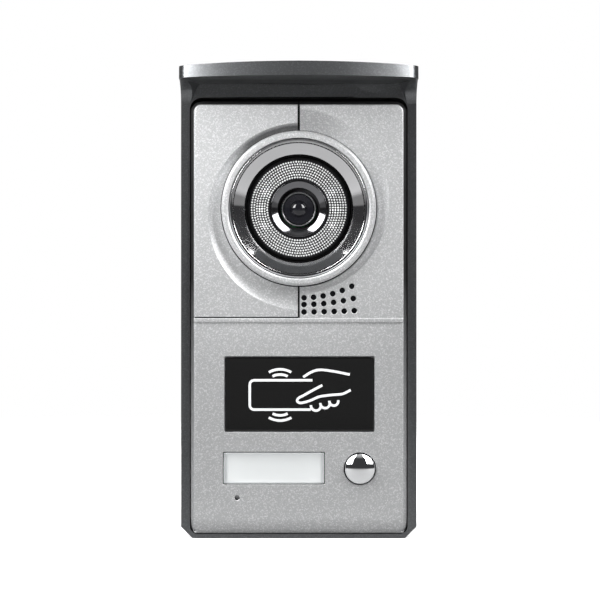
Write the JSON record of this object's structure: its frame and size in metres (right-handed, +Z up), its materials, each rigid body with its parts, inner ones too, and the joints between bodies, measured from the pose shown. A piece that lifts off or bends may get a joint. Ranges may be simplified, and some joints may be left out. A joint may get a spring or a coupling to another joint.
{
  "type": "door intercom panel",
  "caption": "Wall-mounted door intercom panel: silver front with ringed camera, speaker holes, card reader window, lit name plate and chrome call button, in a dark rain hood.",
  "frame": {"origin": "centre of the hood back face that lies on the wall, at mid height", "axes": "+Z up, the back face looks along +Y at the wall and the front faces -Y, +X to the right seen from the front"},
  "size_m": [0.095, 0.0505, 0.19],
  "materials": {
    "hood_grey": "satin",
    "silver_paint": "satin",
    "chrome": "polished",
    "black_gloss": "gloss",
    "black_plastic": "matte",
    "clear_plastic": "gloss",
    "frosted_white": "satin",
    "card_paper": "matte",
    "rubber": "matte",
    "circuit_board": "satin",
    "steel": "satin",
    "brass": "satin",
    "relay_blue": "satin",
    "terminal_green": "satin",
    "lens_glass": "polished",
    "dark_cloth": "matte"
  },
  "bodies": {
    "intercom": {"rain_hood": "hood_grey", "cable_grommet": "rubber", "front_panel": "silver_paint", "rear_housing": "black_plastic", "panel_gasket": "rubber", "threaded_insert": "brass", "security_screw": "steel", "bezel_ring": "silver_paint", "chrome_trim_ring": "chrome", "lens_carrier": "black_gloss", "diffuser_ring": "clear_plastic", "lens_shroud": "black_gloss", "led_board": "circuit_board", "camera_bracket": "steel", "speaker_basket": "steel", "speaker_magnet": "steel", "speaker_cone": "dark_cloth", "speaker_dust_screen": "dark_cloth", "reader_window": "black_gloss", "reader_antenna_board": "circuit_board", "label_card": "card_paper", "label_light_guide": "frosted_white", "button_guide": "black_plastic", "button_spring": "steel", "switch_body": "black_plastic", "microphone_boot": "rubber", "microphone_capsule": "steel", "main_board": "circuit_board", "terminal_block": "terminal_green", "door_relay": "relay_blue", "power_capacitor": "black_plastic", "video_processor": "black_plastic", "case_screw_1": "steel", "board_screw_1": "steel", "terminal_screw_1": "steel", "case_screw_2": "steel", "board_screw_2": "steel", "terminal_screw_2": "steel", "case_screw_3": "steel", "board_screw_3": "steel", "terminal_screw_3": "steel", "case_screw_4": "steel", "board_screw_4": "steel", "terminal_screw_4": "steel", "carrier_screw_1": "steel", "carrier_screw_2": "steel", "carrier_screw_3": "steel", "infrared_led_1": "frosted_white", "infrared_led_2": "frosted_white", "infrared_led_3": "frosted_white", "infrared_led_4": "frosted_white", "infrared_led_5": "frosted_white", "infrared_led_6": "frosted_white"},
    "call_button": {"button_cap": "chrome"},
    "switch_plunger": {"switch_plunger": "frosted_white"},
    "name_cover": {"label_cover": "clear_plastic"},
    "camera": {"camera_cradle": "black_plastic", "lens_barrel": "black_gloss", "front_lens": "lens_glass", "sensor_board": "circuit_board"}
  },
  "joints": [
    {"name": "button_press", "type": "slide", "parent": "intercom", "child": "call_button", "axis": [0, 1, 0], "range_m": [0, 0.0012], "stiffness_N_per_m": 600, "springref_m": -0.001, "deforming": ["button_spring"]},
    {"name": "switch_press", "type": "slide", "parent": "intercom", "child": "switch_plunger", "axis": [0, 1, 0], "range_m": [0, 0.00095]},
    {"name": "cover_pull", "type": "slide", "parent": "intercom", "child": "name_cover", "axis": [0, -1, 0], "range_m": [0, 0.01]},
    {"name": "camera_tilt", "type": "hinge", "parent": "intercom", "child": "camera", "pos_m": [0, -0.012, 0.038], "axis": [1, 0, 0], "range_deg": [-5, 5]}
  ],
  "couplings": [
    {"joint": "switch_press", "follows": "button_press", "ratio": 0.75}
  ]
}
